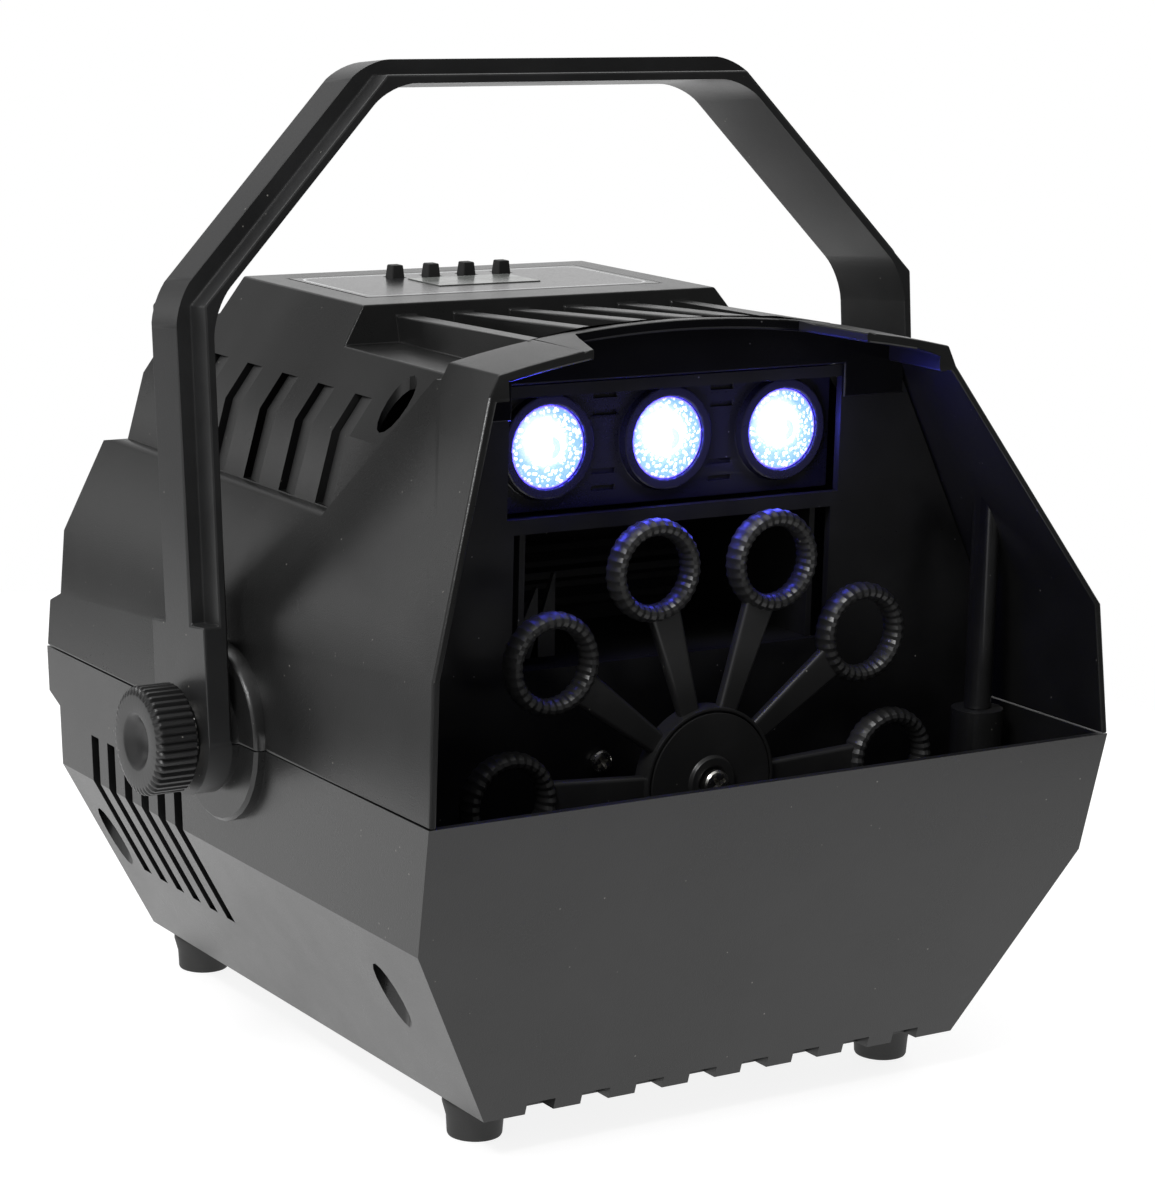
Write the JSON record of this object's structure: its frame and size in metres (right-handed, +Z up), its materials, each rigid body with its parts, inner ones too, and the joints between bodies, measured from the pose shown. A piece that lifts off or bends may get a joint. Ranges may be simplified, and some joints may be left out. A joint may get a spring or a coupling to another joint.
{
  "type": "bubble machine",
  "caption": "Two-shell bubble machine with a turning wand wheel in an open mouth, blower, three lamps, top control panel and a tilting bail handle with clamping knobs.",
  "frame": {"origin": "on the floor under the feet, below the middle of the machine", "axes": "+Z up, -Y out of the bubble mouth, +X to the right seen from the front; the handle turns about X"},
  "size_m": [0.2904, 0.2466, 0.3008],
  "materials": {
    "casing_plastic": "satin black ABS with a fine spark-eroded grain",
    "inner_plastic": "glossy black moulding, slightly hazed",
    "handle_plastic": "satin black glass-filled nylon",
    "rubber": "matt black rubber",
    "steel": "zinc-plated steel",
    "motor_steel": "plain passivated sheet steel",
    "lens_clear": "clear moulded lens with a stippled rim",
    "circuit_board": "green solder mask",
    "label_film": "black printed film with a pale grey border, no lettering",
    "display_glass": "smoked grey display window"
  },
  "bodies": {
    "casing": {"upper_casing": "casing_plastic", "lower_casing": "casing_plastic", "foot_front_left": "rubber", "foot_front_right": "rubber", "foot_rear_left": "rubber", "foot_rear_right": "rubber", "casing_screw_front_left": "steel", "casing_screw_front_right": "steel", "casing_screw_rear_left": "steel", "casing_screw_rear_right": "steel", "back_plate": "inner_plastic", "led_bezel": "inner_plastic", "led_lens_left": "lens_clear", "led_lens_centre": "lens_clear", "led_lens_right": "lens_clear", "led_board": "circuit_board", "gearbox": "steel", "gear_motor": "motor_steel", "motor_screw_left": "steel", "motor_screw_right": "steel", "blower_housing": "inner_plastic", "blower_motor": "motor_steel", "panel_label": "label_film", "display_window": "display_glass", "control_board": "circuit_board", "power_inlet": "casing_plastic", "fuse_drawer": "casing_plastic", "inlet_pin_1": "steel", "inlet_pin_2": "steel", "inlet_pin_3": "steel", "power_switch": "casing_plastic", "power_supply": "motor_steel", "captive_nut_left": "steel", "captive_nut_right": "steel"},
    "wheel": {"bubble_wheel": "inner_plastic", "hub_cover": "inner_plastic", "wheel_screw": "steel", "drive_shaft": "steel"},
    "fan": {"blower_impeller": "inner_plastic", "blower_shaft": "steel"},
    "bail": {"handle": "handle_plastic"},
    "left_clamp": {"washer_left": "steel"},
    "left_grip": {"knob_left": "handle_plastic", "knob_stud_left": "steel"},
    "right_clamp": {"washer_right": "steel"},
    "right_grip": {"knob_right": "handle_plastic", "knob_stud_right": "steel"},
    "rocker": {"power_rocker": "casing_plastic"},
    "push_1": {"button_1": "rubber"},
    "push_2": {"button_2": "rubber"},
    "push_3": {"button_3": "rubber"},
    "push_4": {"button_4": "rubber"}
  },
  "joints": [
    {"name": "wheel_spin", "type": "hinge", "parent": "casing", "child": "wheel", "pos_m": [0, -0.0811, 0.0975], "axis": [0, 1, 0], "continuous": true},
    {"name": "fan_spin", "type": "hinge", "parent": "casing", "child": "fan", "pos_m": [0, 0.0196, 0.1402], "axis": [1, 0, 0], "continuous": true},
    {"name": "handle_tilt", "type": "hinge", "parent": "casing", "child": "bail", "pos_m": [0, -0.0032, 0.1077], "axis": [1, 0, 0], "range_deg": [-103.9, 116.1]},
    {"name": "rocker_tip", "type": "hinge", "parent": "casing", "child": "rocker", "pos_m": [0.012, 0.1128, 0.0617], "axis": [1, 0, 0], "range_deg": [-16, 0]},
    {"name": "left_clamp_travel", "type": "slide", "parent": "casing", "child": "left_clamp", "axis": [-1, 0, 0], "range_m": [0, 0.0025]},
    {"name": "left_knob_turn", "type": "hinge", "parent": "left_clamp", "child": "left_grip", "pos_m": [-0.1325, -0.0032, 0.1077], "axis": [-1, 0, 0], "range_deg": [0, 721]},
    {"name": "right_clamp_travel", "type": "slide", "parent": "casing", "child": "right_clamp", "axis": [1, 0, 0], "range_m": [0, 0.0025]},
    {"name": "right_knob_turn", "type": "hinge", "parent": "right_clamp", "child": "right_grip", "pos_m": [0.1325, -0.0032, 0.1077], "axis": [1, 0, 0], "range_deg": [0, 721]},
    {"name": "button_1_press", "type": "slide", "parent": "casing", "child": "push_1", "axis": [0, 0, -1], "range_m": [0, 0.0008], "stiffness_N_per_m": 400, "springref_m": -0.0005},
    {"name": "button_2_press", "type": "slide", "parent": "casing", "child": "push_2", "axis": [0, 0, -1], "range_m": [0, 0.0008], "stiffness_N_per_m": 400, "springref_m": -0.0005},
    {"name": "button_3_press", "type": "slide", "parent": "casing", "child": "push_3", "axis": [0, 0, -1], "range_m": [0, 0.0008], "stiffness_N_per_m": 400, "springref_m": -0.0005},
    {"name": "button_4_press", "type": "slide", "parent": "casing", "child": "push_4", "axis": [0, 0, -1], "range_m": [0, 0.0008], "stiffness_N_per_m": 400, "springref_m": -0.0005}
  ],
  "couplings": [
    {"joint": "left_knob_turn", "follows": "left_clamp_travel", "rad_per_m": 5026.5},
    {"joint": "right_knob_turn", "follows": "right_clamp_travel", "rad_per_m": 5026.5}
  ]
}
